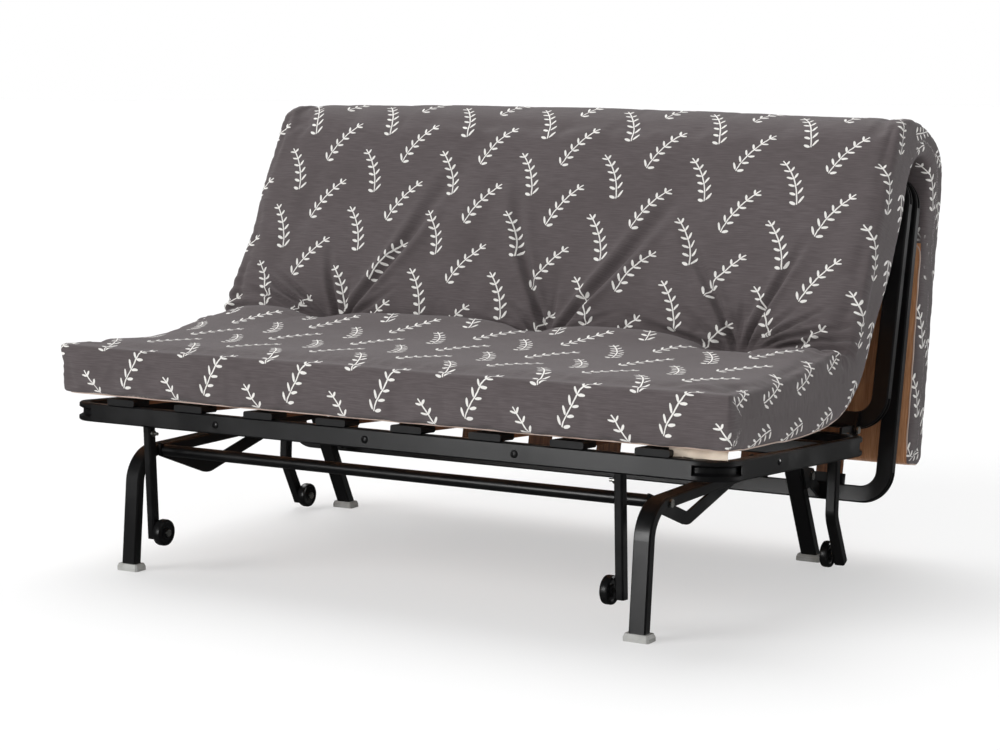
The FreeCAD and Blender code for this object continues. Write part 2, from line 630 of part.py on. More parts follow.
def seat_fold():
    """Bend between seat and backrest, gathered at three tufts along the crease."""
    seat_end = "bend_seat - bend_cut + pad_gap"
    turn = math.radians(size("bend_back_slope + seat_tilt"))
    along, up = f"{math.cos(turn):.6f}", f"{math.sin(turn):.6f}"
    lift_y = f"bend_seat + (bend_cut - pad_gap) * {along}"
    lift_z = f"mattress_z + (bend_cut - pad_gap) * {up}"

    def draw(sketch, drop_in, share):
        over, drop = f"mattress_over * {share}", f"mattress_under * {share}"
        corners = [(seat_end, f"mattress_z - {drop}"),
                   ("bend_seat + fold_belly", f"mattress_z - {drop} + fold_belly"),
                   (f"{lift_y} + {drop} * {up}", f"{lift_z} - {drop} * {along}"),
                   (f"{lift_y} - {over} * {up}", f"{lift_z} + {over} * {along}"),
                   (f"({seat_end} + {lift_y} - {over} * {up}) / 2",
                    f"mattress_z + {over} + seat_swell * {share} - {drop_in}"),
                   (seat_end, f"mattress_z + {over} + seat_swell * {share}")]
        outline(sketch, corners, [None] * 6)

    rims = [(f"({x}) * fold_share", "0", share) for x, share in across_mattress()]
    tufts = [(f"tuft_x * {step} / 2", "tuft_deep" if step % 2 == 0 else "roll_drop", "1")
             for step in range(-2, 3)]
    stations = rims[:4] + tufts + rims[-4:]
    soft_loft("mattress_seat_fold", SEAT, stations, draw)


def top_fold():
    """Crown of the mattress where it turns over the top hinge."""
    cut = size("crown_cut - pad_gap")
    front = BACK_PAD.multVec(Vector(0, size("back_pad_long") - cut, 0))
    rear = REAR_PAD.multVec(Vector(0, cut, 0))
    over, under = Vector(0, 0, 1), Vector(0, 0, -1)
    front_out = front + BACK_PAD.Rotation.multVec(over) * size("mattress_over")
    front_in = front + BACK_PAD.Rotation.multVec(under) * size("mattress_under")
    rear_out = rear + REAR_PAD.Rotation.multVec(over) * size("rear_over")
    rear_in = rear + REAR_PAD.Rotation.multVec(under) * size("rear_under")

    def toward(line, point, share):
        return tuple(f"{a:.4f} + ({b:.4f} - {a:.4f}) * {share}" for a, b in zip(line, point))

    def draw(sketch, share):
        drawn = f"min(1; {share})"
        crown = (size("crown_front_y"), size("crown_front_z"))
        shoulder = (size("crown_rear_y"), size("crown_rear_z"))
        middle = ((crown[0] + shoulder[0]) / 2, (crown[1] + shoulder[1]) / 2)
        corners = [toward((front.y, front.z), (front_in.y, front_in.z), drawn),
                   toward((front.y, front.z), (front_out.y, front_out.z), share),
                   toward(crown, (size("crown_top_y"), size("crown_top_z")), share),
                   toward(shoulder, (size("crown_back_y"), size("crown_back_z")), share),
                   toward((rear.y, rear.z), (rear_out.y, rear_out.z), drawn),
                   toward((rear.y, rear.z), (rear_in.y, rear_in.z), drawn),
                   toward(middle, (size("crown_hollow_y"), size("crown_hollow_z")), drawn)]
        outline(sketch, corners, [None, None, "crown_top_round * " + drawn, "crown_back_round * " + drawn,
                                  None, None, "crown_hollow_round"])

    soft_loft("mattress_top_fold", WORLD, across_mattress(), draw)


def mattress():
    cushion("mattress_seat", SEAT, "mattress_front", "bend_seat - bend_cut", "mattress_z",
            "mattress_under", "mattress_over", "seat_swell", ("front_round", None))
    seat_fold()
    cushion("mattress_back", BACK_PAD, "bend_cut", "back_pad_long - crown_cut", "0",
            "mattress_under", "mattress_over")
    top_fold()
    cushion("mattress_rear", REAR_PAD, "crown_cut", "rear_pad_long", "0",
            "rear_under", "rear_over", rounds=(None, "rear_round"))


def check_and_write():
    """Stop on any failed object, then write one file for each node."""
    doc.recompute()
    failed = [thing.Name for thing in doc.Objects if {"Invalid", "Error"} & set(thing.State)]
    bad = [node.Label for node in nodes if node.Shape.isNull() or not node.Shape.isValid()]
    if failed or bad:
        raise RuntimeError(f"failed objects {failed}, bad shapes {bad}")
    os.makedirs("parts", exist_ok=True)
    for node in nodes:
        node.Shape.exportStep(f"parts/{node.Label}.step")


base()
seat_section()
back_section()
rear_section()
mattress()
check_and_write()
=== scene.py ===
"""Looks of the sofa bed: finishes for its frame, its padded mattress, wheels, screws and trim."""
import json
import math

import bmesh
import bpy
import numpy as np
from mathutils import Matrix, Vector
from mathutils.kdtree import KDTree


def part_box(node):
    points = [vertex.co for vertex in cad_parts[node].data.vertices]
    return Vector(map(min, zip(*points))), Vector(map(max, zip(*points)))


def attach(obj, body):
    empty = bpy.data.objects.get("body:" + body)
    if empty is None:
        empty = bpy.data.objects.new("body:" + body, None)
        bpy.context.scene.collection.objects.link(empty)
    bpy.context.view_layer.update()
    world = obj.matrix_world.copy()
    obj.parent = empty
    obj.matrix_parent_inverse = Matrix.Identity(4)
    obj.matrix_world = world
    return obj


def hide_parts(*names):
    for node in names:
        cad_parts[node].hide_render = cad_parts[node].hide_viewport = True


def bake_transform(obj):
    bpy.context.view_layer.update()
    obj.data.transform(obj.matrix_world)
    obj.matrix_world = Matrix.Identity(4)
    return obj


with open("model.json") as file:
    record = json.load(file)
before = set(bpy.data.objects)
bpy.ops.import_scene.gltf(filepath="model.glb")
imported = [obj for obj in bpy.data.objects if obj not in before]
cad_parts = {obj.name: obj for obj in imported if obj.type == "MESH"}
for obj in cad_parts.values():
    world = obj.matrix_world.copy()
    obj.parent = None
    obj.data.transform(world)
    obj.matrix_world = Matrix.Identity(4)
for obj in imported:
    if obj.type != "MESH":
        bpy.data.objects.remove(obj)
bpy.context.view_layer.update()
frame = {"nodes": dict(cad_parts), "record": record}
nodes = frame["nodes"]


# Finishes

WHITE = (1, 1, 1, 1)


class Shade:
    """A shader value that takes Python arithmetic."""

    def __init__(self, owner, socket):
        self.owner, self.socket = owner, socket

    def math(self, operation, *values):
        inputs = dict(enumerate((self,) + values))
        return self.owner.node("ShaderNodeMath", {"operation": operation}, inputs)

    def __add__(self, other):
        return self.math("ADD", other)

    def __sub__(self, other):
        return self.math("SUBTRACT", other)

    def __mul__(self, other):
        return self.math("MULTIPLY", other)

    def __truediv__(self, other):
        return self.math("DIVIDE", other)

    def __rsub__(self, other):
        return self * -1 + other

    def __neg__(self):
        return self * -1

    __radd__ = __add__
    __rmul__ = __mul__

    def below(self, limit):
        return self.math("LESS_THAN", limit)

    def above(self, limit):
        return self.math("GREATER_THAN", limit)

    def size(self):
        return self.math("ABSOLUTE")

    def fade(self, low, high):
        """0 below low and 1 above high, smoothly."""
        return self.owner.node("ShaderNodeMapRange", {"interpolation_type": "SMOOTHSTEP"},
                               {"Value": self, "From Min": low, "From Max": high})


class Nodes:
    """The node tree of a material or a world, and the one way that nodes get into it."""

    def __init__(self, holder):
        holder.use_nodes = True
        self.tree = holder.node_tree
        self.tree.nodes.clear()

    def put(self, node, socket, value):
        if isinstance(value, Shade):
            self.tree.links.new(value.socket, node.inputs[socket])
        else:
            node.inputs[socket].default_value = value

    def node(self, kind, settings, inputs, output=0):
        made = self.tree.nodes.new(kind)
        for name, value in settings.items():
            setattr(made, name, value)
        for socket, value in inputs.items():
            self.put(made, socket, value)
        return Shade(self, made.outputs[output]) if made.outputs else None

    def ray(self, kind):
        """1 for a ray of the named kind, else 0."""
        return self.node("ShaderNodeLightPath", {}, {}, kind)

    def glow(self, kind, level):
        return self.node(kind, {}, {"Color": WHITE, "Strength": level})

    def one_or_other(self, share, first, second):
        return self.node("ShaderNodeMixShader", {}, {0: share, 1: first, 2: second})


class Finish(Nodes):
    """One procedural material for pieces of the object."""

    def __init__(self, name, **constants):
        self.material = bpy.data.materials.new(name)
        super().__init__(self.material)
        self.shader = self.node("ShaderNodeBsdfPrincipled", {}, {})
        self.node("ShaderNodeOutputMaterial", {}, {0: self.shader})
        self.look(**constants)

    def place(self):
        return self.node("ShaderNodeTexCoord", {}, {}, "Object")

    def attribute(self, name):
        return self.node("ShaderNodeAttribute", {"attribute_name": name}, {}, "Vector")

    def stretch(self, vector, scale, turn=(0, 0, 0)):
        return self.node("ShaderNodeMapping", {}, {"Vector": vector, "Scale": scale, "Rotation": turn})

    def split(self, vector):
        parts = self.node("ShaderNodeSeparateXYZ", {}, {0: vector}).socket.node
        return [Shade(self, socket) for socket in parts.outputs]

    def noise(self, vector, scale, detail=2.0, rough=0.5):
        return self.node("ShaderNodeTexNoise", {}, {
            "Vector": vector, "Scale": scale, "Detail": detail, "Roughness": rough})

    def mix(self, share, first, second):
        return self.node("ShaderNodeMix", {"data_type": "RGBA"}, {0: share, 6: first, 7: second}, 2)

    def bump(self, height, strength, distance):
        return self.node("ShaderNodeBump", {}, {
            "Height": height, "Strength": strength, "Distance": distance})

    def look(self, **values):
        for socket, value in values.items():
            self.put(self.shader.socket.node, socket.replace("_", " "), value)
        return self.material


def rgb(red, green, blue):
    """A colour written as it looks on a screen, 0 to 255."""
    def linear(value):
        value /= 255
        return value / 12.92 if value <= 0.04045 else ((value + 0.055) / 1.055) ** 2.4
    return (linear(red), linear(green), linear(blue), 1.0)


def powder_coat():
    finish = Finish("black_powder_coat", Specular_IOR_Level=0.55, Coat_Roughness=0.18)
    place = finish.place()
    dust = finish.noise(place, 9.0, 4.0, 0.6).fade(0.45, 0.75)
    peel = finish.noise(place, 900.0, 1.0)
    rub = finish.noise(finish.stretch(place, (14.0, 60.0, 60.0)), 1.0, 5.0, 0.65).fade(0.62, 0.78)
    colour = finish.mix(dust * 0.7, rgb(13, 13, 14), rgb(24, 24, 25))
    return finish.look(Base_Color=colour, Roughness=0.30 + dust * 0.14 + rub * 0.1,
                       Coat_Weight=0.2 - rub * 0.15, Normal=finish.bump(peel, 0.22, 0.0006))


def slat_wood():
    finish = Finish("stained_ply", Specular_IOR_Level=0.4)
    place = finish.place()
    grain = finish.noise(finish.stretch(place, (150.0, 4.0, 6.0)), 1.0, 6.0, 0.62)
    pores = finish.noise(finish.stretch(place, (900.0, 14.0, 24.0)), 1.0, 2.0)
    plies = finish.noise(finish.stretch(place, (5.0, 5.0, 520.0)), 1.0, 1.0).fade(0.42, 0.58)
    colour = finish.mix(grain.fade(0.3, 0.7), rgb(96, 58, 34), rgb(148, 98, 62))
    colour = finish.mix(plies * 0.25 + pores.fade(0.55, 0.8) * 0.3, colour, rgb(70, 40, 24))
    return finish.look(Base_Color=colour, Roughness=0.46 + grain * 0.16,
                       Normal=finish.bump(grain + pores * 0.5, 0.18, 0.0005))


def moulded(name, shade, worn, rough, grit):
    finish = Finish(name, Specular_IOR_Level=0.45)
    place = finish.place()
    cloud = finish.noise(place, 34.0, 3.0).fade(0.35, 0.75)
    speck = finish.noise(place, grit, 2.0)
    return finish.look(Base_Color=finish.mix(cloud, shade, worn), Roughness=rough + cloud * 0.12,
                       Normal=finish.bump(speck, 0.25, 0.0005))


def bright_zinc():
    finish = Finish("bright_zinc", Metallic=1.0)
    place = finish.place()
    brushed = finish.noise(finish.stretch(place, (60.0, 900.0, 900.0)), 1.0, 3.0)
    stain = finish.noise(place, 120.0, 3.0).fade(0.5, 0.8)
    return finish.look(Base_Color=finish.mix(stain, rgb(205, 205, 200), rgb(160, 158, 150)),
                       Roughness=0.2 + brushed * 0.16 + stain * 0.15,
                       Normal=finish.bump(brushed, 0.1, 0.0003))


def sprig(across, along, lean):
    """Mask of one leafy sprig about the origin: a bowed stem and paired slim leaves, in metres."""
    cos, sin = math.cos(lean), math.sin(lean)
    run = across * sin + along * cos
    off = across * cos - along * sin
    off = off - run * run * 3.0 + 0.003
    taper = 1.0 - (run + 0.055) * 4.4
    stem = off.size().below(0.0013) * run.size().below(0.054)
    beat = ((run / 0.0185).math("FRACT") - 0.42) * 0.0185
    out = off.size() - 0.0092 * taper
    leaf_long = beat * 0.62 + out * 0.78
    leaf_wide = beat * 0.78 - out * 0.62
    oval = (leaf_long / 0.0080).math("POWER", 2.0) + (leaf_wide / 0.0026).math("POWER", 2.0)
    leaves = oval.below(taper) * (run + 0.004).size().below(0.056)
    return stem.math("MAXIMUM", leaves)


def cover_print(across, along):
    """White sprigs in a half-drop repeat, every other column leaning the other way."""
    wide, tall = 0.094, 0.132
    odd = (across / wide / 2.0).math("FRACT").above(0.5)
    x = ((across / wide).math("FRACT") - 0.5) * wide
    y = ((along / tall + odd * 0.5).math("FRACT") - 0.5) * tall
    return sprig(x, y, 0.62) * (1 - odd) + sprig(-x, y, 0.46) * odd


def cover_cloth():
    finish = Finish("printed_cover", Specular_IOR_Level=0.25, Sheen_Weight=0.08, Sheen_Roughness=0.5)
    cloth = finish.attribute("cover_way")
    across, along, plain = finish.split(cloth)
    slubs = finish.noise(finish.stretch(cloth, (26.0, 620.0, 1.0)), 1.0, 3.0, 0.6)
    drift = finish.noise(finish.stretch(cloth, (3.0, 9.0, 1.0)), 1.0, 3.0)
    warp = (across * 4200.0).math("SINE")
    weft = (along * 4200.0).math("SINE")
    weave = warp * weft
    wobble = (finish.noise(cloth, 60.0, 2.0) - 0.5) * 0.0028
    white = cover_print(across + wobble, along - wobble) * (1 - plain)
    worn = finish.noise(cloth, 900.0, 2.0).fade(0.25, 0.5)
    ground = finish.mix(slubs.fade(0.32, 0.72), rgb(83, 76, 77), rgb(99, 92, 93))
    ground = finish.mix(drift.fade(0.3, 0.75) * 0.35, ground, rgb(78, 71, 71))
    colour = finish.mix(white * (0.72 + worn * 0.26), ground, rgb(232, 230, 226))
    height = slubs * 0.6 + weave * 0.3
    return finish.look(Base_Color=colour, Roughness=0.82 + slubs * 0.12 - white * 0.1,
                       Normal=finish.bump(height, 0.32, 0.0007))


def ticking():
    """Brown woven underside of the mattress, with narrow darker stripes."""
    finish = Finish("brown_ticking", Specular_IOR_Level=0.25, Sheen_Weight=0.2)
    cloth = finish.attribute("cover_way")
    across, along, _ = finish.split(cloth)
    stripe = (across * 210.0).math("SINE").fade(0.2, 0.8)
    slubs = finish.noise(finish.stretch(cloth, (500.0, 24.0, 1.0)), 1.0, 3.0)
    colour = finish.mix(slubs.fade(0.3, 0.7), rgb(164, 113, 76), rgb(190, 141, 103))
    colour = finish.mix(stripe * 0.3, colour, rgb(132, 84, 56))
    weave = (across * 3600.0).math("SINE") * (along * 3600.0).math("SINE")
    return finish.look(Base_Color=colour, Roughness=0.86 + slubs * 0.1,
                       Normal=finish.bump(slubs + weave * 0.4, 0.3, 0.0006))


def bias_tape():
    finish = Finish("pale_binding", Specular_IOR_Level=0.3, Sheen_Weight=0.2)
    place = finish.place()
    rib = finish.noise(place, 700.0, 2.0)
    soil = finish.noise(place, 18.0, 3.0).fade(0.4, 0.8)
    return finish.look(Base_Color=finish.mix(soil, rgb(198, 178, 166), rgb(172, 148, 134)),
                       Roughness=0.8 + rib * 0.15, Normal=finish.bump(rib, 0.4, 0.0006))


FINISHES = {
    "frame_black": powder_coat(),
    "slat_wood": slat_wood(),
    "holder_black": moulded("black_holder", rgb(16, 16, 17), rgb(25, 25, 26), 0.5, 700.0),
    "foot_grey": moulded("grey_foot", rgb(186, 186, 183), rgb(166, 166, 162), 0.45, 600.0),
    "wheel_black": moulded("black_wheel", rgb(14, 14, 15), rgb(24, 24, 25), 0.28, 500.0),
    "zinc": bright_zinc(),
    "cover_fabric": cover_cloth(),
}
UNDERSIDE, BINDING = ticking(), bias_tape()
for part in frame["record"]["subparts"]:
    if part["node"] in nodes:
        mesh = nodes[part["node"]].data
        mesh.materials.clear()
        mesh.materials.append(FINISHES[part["material_slot"]])


# Pieces

def new_piece(name, bm, *materials, smooth=True):
    """Object at the origin from a bmesh, with its materials."""
    mesh = bpy.data.meshes.new(name)
    bm.to_mesh(mesh)
    bm.free()
    for material in materials:
        mesh.materials.append(material)
    if smooth:
        mesh.shade_smooth()
    piece = bpy.data.objects.new(name, mesh)
    bpy.context.scene.collection.objects.link(piece)
    return piece


def evaluated_mesh(piece):
    """The piece's mesh with its modifiers applied, which are then gone."""
    view = bpy.context.evaluated_depsgraph_get()
    mesh = bpy.data.meshes.new_from_object(piece.evaluated_get(view))
    piece.modifiers.clear()
    old = piece.data
    piece.data = mesh
    bpy.data.meshes.remove(old)
    return piece


def points_of(mesh):
    flat = np.empty(len(mesh.vertices) * 3, np.float32)
    mesh.vertices.foreach_get("co", flat)
    return flat.reshape(-1, 3).astype(float)


def normals_of(mesh):
    flat = np.empty(len(mesh.vertices) * 3, np.float32)
    mesh.vertex_normals.foreach_get("vector", flat)
    return flat.reshape(-1, 3).astype(float)


def set_points(mesh, points):
    mesh.vertices.foreach_set("co", points.astype(np.float32).ravel())
    mesh.update()


def ramp(value, low, high):
    t = np.clip((value - low) / (high - low), 0, 1)
    return t * t * (3 - 2 * t)


# Mattress: the outline of its middle, in millimetres of (y, z), cover side then underside
COVER_LINE = [
    (-470, 326), (-473, 340), (-474, 370), (-472, 402), (-470, 419), (-450, 420), (-400, 419),
    (-320, 417), (-240, 419), (-160, 425), (-95, 435), (-45, 446), (-12, 444), (10, 426), (30, 438),
    (50, 472), (84, 534), (132, 620), (180, 707), (222, 784), (238, 820), (258, 846), (298, 857),
    (345, 851), (397, 835), (440, 811), (470, 776), (483, 722), (463, 590), (440, 440), (418, 300),
    (403, 200), (397, 181)]
UNDER_LINE = [
    (386, 174), (342, 181), (324, 190), (326, 215), (349, 350), (373, 500), (398, 645), (412, 717),
    (408, 752), (390, 773), (364, 779), (334, 769), (310, 745), (289, 708), (262, 657), (233, 605),
    (202, 548), (168, 494), (131, 442), (105, 397), (78, 366), (40, 340), (0, 322), (-60, 311),
    (-190, 309), (-330, 318), (-440, 325)]
HALF_WIDTH = 0.702
RIM_ROUND = 0.011
MESH_STEP = 0.0098
CREASE = (0.012, 0.432)
GATHERS = (-0.410, 0.078, 0.480)


def section_line():
    """The outline as a smooth closed line of points, cover side first."""
    curve = bpy.data.curves.new("mattress_section", "CURVE")
    curve.dimensions = "3D"
    spline = curve.splines.new("NURBS")
    corners = COVER_LINE + UNDER_LINE
    spline.points.add(len(corners) - 1)
    for point, (y, z) in zip(spline.points, corners):
        point.co = (0, y / 1000, z / 1000, 1)
    spline.use_cyclic_u = True
    spline.order_u = 3
    curve.resolution_u = 6
    holder = bpy.data.objects.new("mattress_section", curve)
    mesh = bpy.data.meshes.new_from_object(holder)
    line = points_of(mesh)[:, 1:]
    bpy.data.objects.remove(holder)
    bpy.data.curves.remove(curve)
    bpy.data.meshes.remove(mesh)
    return line


LINE = section_line()
first = np.argmin(np.hypot(*(LINE - np.array((-0.470, 0.326))).T))
LINE = np.roll(LINE, -first, axis=0)
STEPS = np.hypot(*(np.roll(LINE, -1, axis=0) - LINE).T)
RUN = np.concatenate(([0], np.cumsum(STEPS)))


def run_at(y, z):
    return RUN[np.argmin(np.hypot(LINE[:, 0] - y, LINE[:, 1] - z))]


CREASE_RUN = run_at(*CREASE)
COVER_END = run_at(0.392, 0.1755)
HOLLOW_RUN = run_at(0.366, 0.768)
EDGE_RUN = run_at(-0.470, 0.417)


def along_section(points):
    """For each point: its place along the section's outline, and its distance from it."""
    tree = KDTree(len(LINE))
    for index, (y, z) in enumerate(LINE):
        tree.insert((0, y, z), index)
    tree.balance()
    yz = points[:, 1:]
    nearest = np.array([tree.find((0, y, z))[1] for y, z in yz])
    gap = np.full(len(points), 1e9)
    run = np.zeros(len(points))
    for start in ((nearest - 1) % len(LINE), nearest):
        way = LINE[(start + 1) % len(LINE)] - LINE[start]
        length = np.maximum(STEPS[start], 1e-9)
        share = np.clip(((yz - LINE[start]) * way).sum(axis=1) / length ** 2, 0, 1)
        off = np.linalg.norm(yz - LINE[start] - share[:, None] * way, axis=1)
        closer = off < gap
        gap[closer] = off[closer]
        run[closer] = (RUN[start] + share * length)[closer]
    return run, gap


def slab():
    """The folded slab: its section swept across the sofa, with its two end rims rounded."""
    bm = bmesh.new()
    loop = [bm.verts.new((-HALF_WIDTH, y, z)) for y, z in LINE]
    end = bm.faces.new(loop)
    swept = bmesh.ops.extrude_face_region(bm, geom=[end])["geom"]
    moved = [item for item in swept if isinstance(item, bmesh.types.BMVert)]
    bmesh.ops.translate(bm, verts=moved, vec=(2 * HALF_WIDTH, 0, 0))
    rims = [edge for edge in bm.edges if abs(edge.verts[0].co.x - edge.verts[1].co.x) < 1e-6]
    bmesh.ops.bevel(bm, geom=rims, offset=RIM_ROUND, offset_type="OFFSET", segments=3, profile=0.5,
                    affect="EDGES", material=-1, clamp_overlap=True)
    bmesh.ops.recalc_face_normals(bm, faces=bm.faces)
    bmesh.ops.triangulate(bm, faces=[face for face in bm.faces if len(face.verts) > 4])
    piece = new_piece("mattress", bm)
    remesh = piece.modifiers.new("even", "REMESH")
    remesh.mode, remesh.voxel_size = "VOXEL", MESH_STEP
    return evaluated_mesh(piece)


def rolls(points, run, gap):
    """How far the cover stands out or in, for the swell before the crease and the gathers in it."""
    past = run - CREASE_RUN
    x = points[:, 0]
    across = np.abs(x)
    on_cover = (run < COVER_END) * ramp(0.03 - gap, 0.0, 0.02)
    pinch = sum(np.exp(-((x - gather) / 0.075) ** 2) for gather in GATHERS)
    low_end = ramp(x, 0.30, 0.50) * 0.017 + ramp(-x, 0.55, 0.68) * 0.010
    swell = np.exp(-((past + 0.055) / 0.05) ** 2) * (0.010 - 0.013 * pinch - low_end)
    belly = np.exp(-((past - 0.10) / 0.06) ** 2) * (0.005 - 0.006 * pinch)
    valley = -np.exp(-(past / 0.017) ** 2) * 0.016 * (1 - 0.7 * ramp(across, 0.58, 0.69))
    crown = 0.003 * (1 - (x / 0.7) ** 4) * ramp(np.abs(past), 0.08, 0.25)
    for gather in GATHERS:
        reach = np.hypot(x - gather, past)
        valley = valley - np.exp(-(reach / 0.040) ** 2) * 0.018
    return on_cover * (swell + belly + valley + crown)


def hem(points, run, gap):
    """Move to let the underside hang toward the side tubes along its two ends."""
    at_end = ramp(np.abs(points[:, 0]), 0.605, 0.650)
    below = (run > COVER_END) * (1 - ramp(gap, 0.012, 0.042)) * at_end
    height = points[:, 2]
    back = (run > HOLLOW_RUN) * 0.011 * ramp(height, 0.47, 0.58) * (1 - ramp(height, 0.66, 0.74))
    rear = (run < HOLLOW_RUN) * 0.006 * ramp(height, 0.30, 0.55) * (1 - ramp(height, 0.66, 0.74))
    toward_back, toward_rear = np.array((0, 0.875, -0.485)), np.array((0, -0.987, 0.160))
    return (below * back)[:, None] * toward_back + (below * rear)[:, None] * toward_rear


def worn(points):
    """Move for the crown drooping to the right, the seat's low left end and the drawn-in back."""
    x, y, z = points.T
    droop = ramp(z, 0.70, 0.84) * (0.002 + 0.014 * np.clip((x + 0.35) / 1.0, 0, 1))
    low = (0.016 * ramp(-x, 0.56, 0.70) * ramp(y, -0.44, -0.24) * ramp(-y, -0.06, 0.0)
           * ramp(z, 0.34, 0.42))
    narrow = (0.009 * ramp(-x, 0.60, 0.69) * ramp(z, 0.43, 0.53) * (1 - ramp(z, 0.60, 0.70))
              * ramp(y, -0.02, 0.08))
    return np.stack((narrow, 0 * x, -droop - low), axis=1)


# The seat's front face, its top, and the round between them
SEAT_FRONT, SEAT_TOP, EDGE_ROUND = -0.4745, 0.4205, 0.006


def front_edge(points, run, gap):
    """Draw the seat's front top edge up to a crisp line."""
    past = run - EDGE_RUN
    bend = EDGE_ROUND
    over = np.clip((past + bend) / (2 * bend), 0, 1) * math.pi / 2
    y = SEAT_FRONT + bend * (1 - np.cos(over)) + np.clip(past - bend, 0, None)
    z = SEAT_TOP - bend * (1 - np.sin(over)) + np.clip(past + bend, None, 0)
    share = (1 - ramp(np.abs(past), 0.012, 0.032)) * (1 - ramp(gap, 0.004, 0.016))
    moved = points.copy()
    moved[:, 1] += share * (y - points[:, 1])
    moved[:, 2] += share * (z - points[:, 2])
    return moved


# Pulls that run out of each gather: (degrees round it, reach, depth, width), 90 is up the back
PULLS = {
    GATHERS[0]: [(112, 0.20, 11, 11), (58, 0.46, 11, 13), (84, 0.12, 5, 8), (34, 0.18, 6, 9),
                 (147, 0.28, 8, 7), (156, 0.32, 10, 7), (164, 0.32, 10, 6), (172, 0.30, 9, 6),
                 (10, 0.16, 6, 8), (-40, 0.10, 3, 9), (-140, 0.12, 3, 10)],
    GATHERS[1]: [(117, 0.44, 12, 12), (146, 0.16, 6, 9), (90, 0.14, 4, 9), (52, 0.44, 12, 13),
                 (24, 0.18, 6, 8), (170, 0.20, 8, 8), (6, 0.16, 5, 7), (-35, 0.10, 3, 9),
                 (-150, 0.12, 3, 9)],
    GATHERS[2]: [(122, 0.34, 12, 11), (66, 0.28, 12, 10), (94, 0.13, 4, 8), (150, 0.18, 6, 9),
                 (168, 0.28, 11, 8), (40, 0.16, 6, 8), (28, 0.22, 8, 6), (19, 0.26, 10, 6),
                 (11, 0.27, 9, 5), (3, 0.26, 8, 5), (-150, 0.12, 3, 9)],
}
# Soft standing folds of the backrest: (x at the crease, lean, run up the back, depth, width)
STANDING = [(-0.60, 0.10, 0.44, 4.0, 26), (-0.26, 0.16, 0.46, 5.0, 30), (-0.10, -0.06, 0.42, 4.0, 24),
            (0.24, 0.10, 0.46, 4.5, 28), (0.36, -0.12, 0.42, 4.0, 24), (0.61, 0.05, 0.44, 4.0, 26)]


def folds(points, run, gap):
    """The drawn creases of the cover: pulls from the gathers, standing folds and bunched ends."""
    past = run - CREASE_RUN
    x = points[:, 0]
    on_cover = (run < COVER_END) * ramp(0.03 - gap, 0.0, 0.02)
    depth = np.zeros(len(points))
    for gather, pulls in PULLS.items():
        reach = np.hypot(x - gather, past)
        angle = np.arctan2(past, x - gather)
        for degrees, long, deep, wide in pulls:
            off = angle - math.radians(degrees)
            off = (off + math.pi) % (2 * math.pi) - math.pi
            bow = 0.18 * np.sin(reach * 9 + degrees)
            side = np.abs(off + bow * reach) * reach
            spread = wide / 1000 * (0.45 + 2.2 * reach)
            fade = ramp(reach, 0.0, 0.03) * (1 - ramp(reach, long * 0.35, long))
            near = np.abs(off) < 1.2
            trough = np.exp(-(side / spread) ** 2)
            crest = np.exp(-((side - 1.7 * spread) / spread) ** 2)
            depth += near * fade * deep / 1000 * (0.5 * crest - trough)
    for start, lean, long, deep, wide in STANDING:
        side = x - start - lean * past + 0.012 * np.sin(past * 14 + start * 9)
        fade = ramp(past, 0.04, 0.16) * (1 - ramp(past, long * 0.7, long))
        depth -= fade * deep / 1000 * np.exp(-(side / (wide / 1000)) ** 2)
    bunch = ramp(np.abs(x), 0.54, 0.66) * np.exp(-((past - 0.01) / 0.060) ** 2)
    depth += 0.0048 * bunch * np.sin(past * 240 + np.abs(x) * 46 + 2.0 * np.sin(x * 40))
    corner = ramp(np.abs(x), 0.66, 0.69) * ramp(0.05 - np.abs(run - 0.05), 0.0, 0.05)
    depth += 0.0007 * corner * np.sin(run * 420)
    drift = (np.sin(x * 7.1 + past * 3.1) * np.sin(past * 5.3 - x * 2.2)
             + 0.6 * np.sin(x * 15.7 - past * 6.7) * np.sin(past * 11.9 + x * 4.1))
    depth += 0.0016 * drift
    front = ramp(EDGE_RUN - run, 0.0, 0.02)
    depth += 0.0009 * front * np.sin(x * 34 + 3 * np.sin(x * 11)) * np.sin(run * 22)
    return on_cover * depth


# Steps of the cloth run, and the most that it moves the cover
CLOTH_STEPS, CLOTH_REACH = 18, 0.008


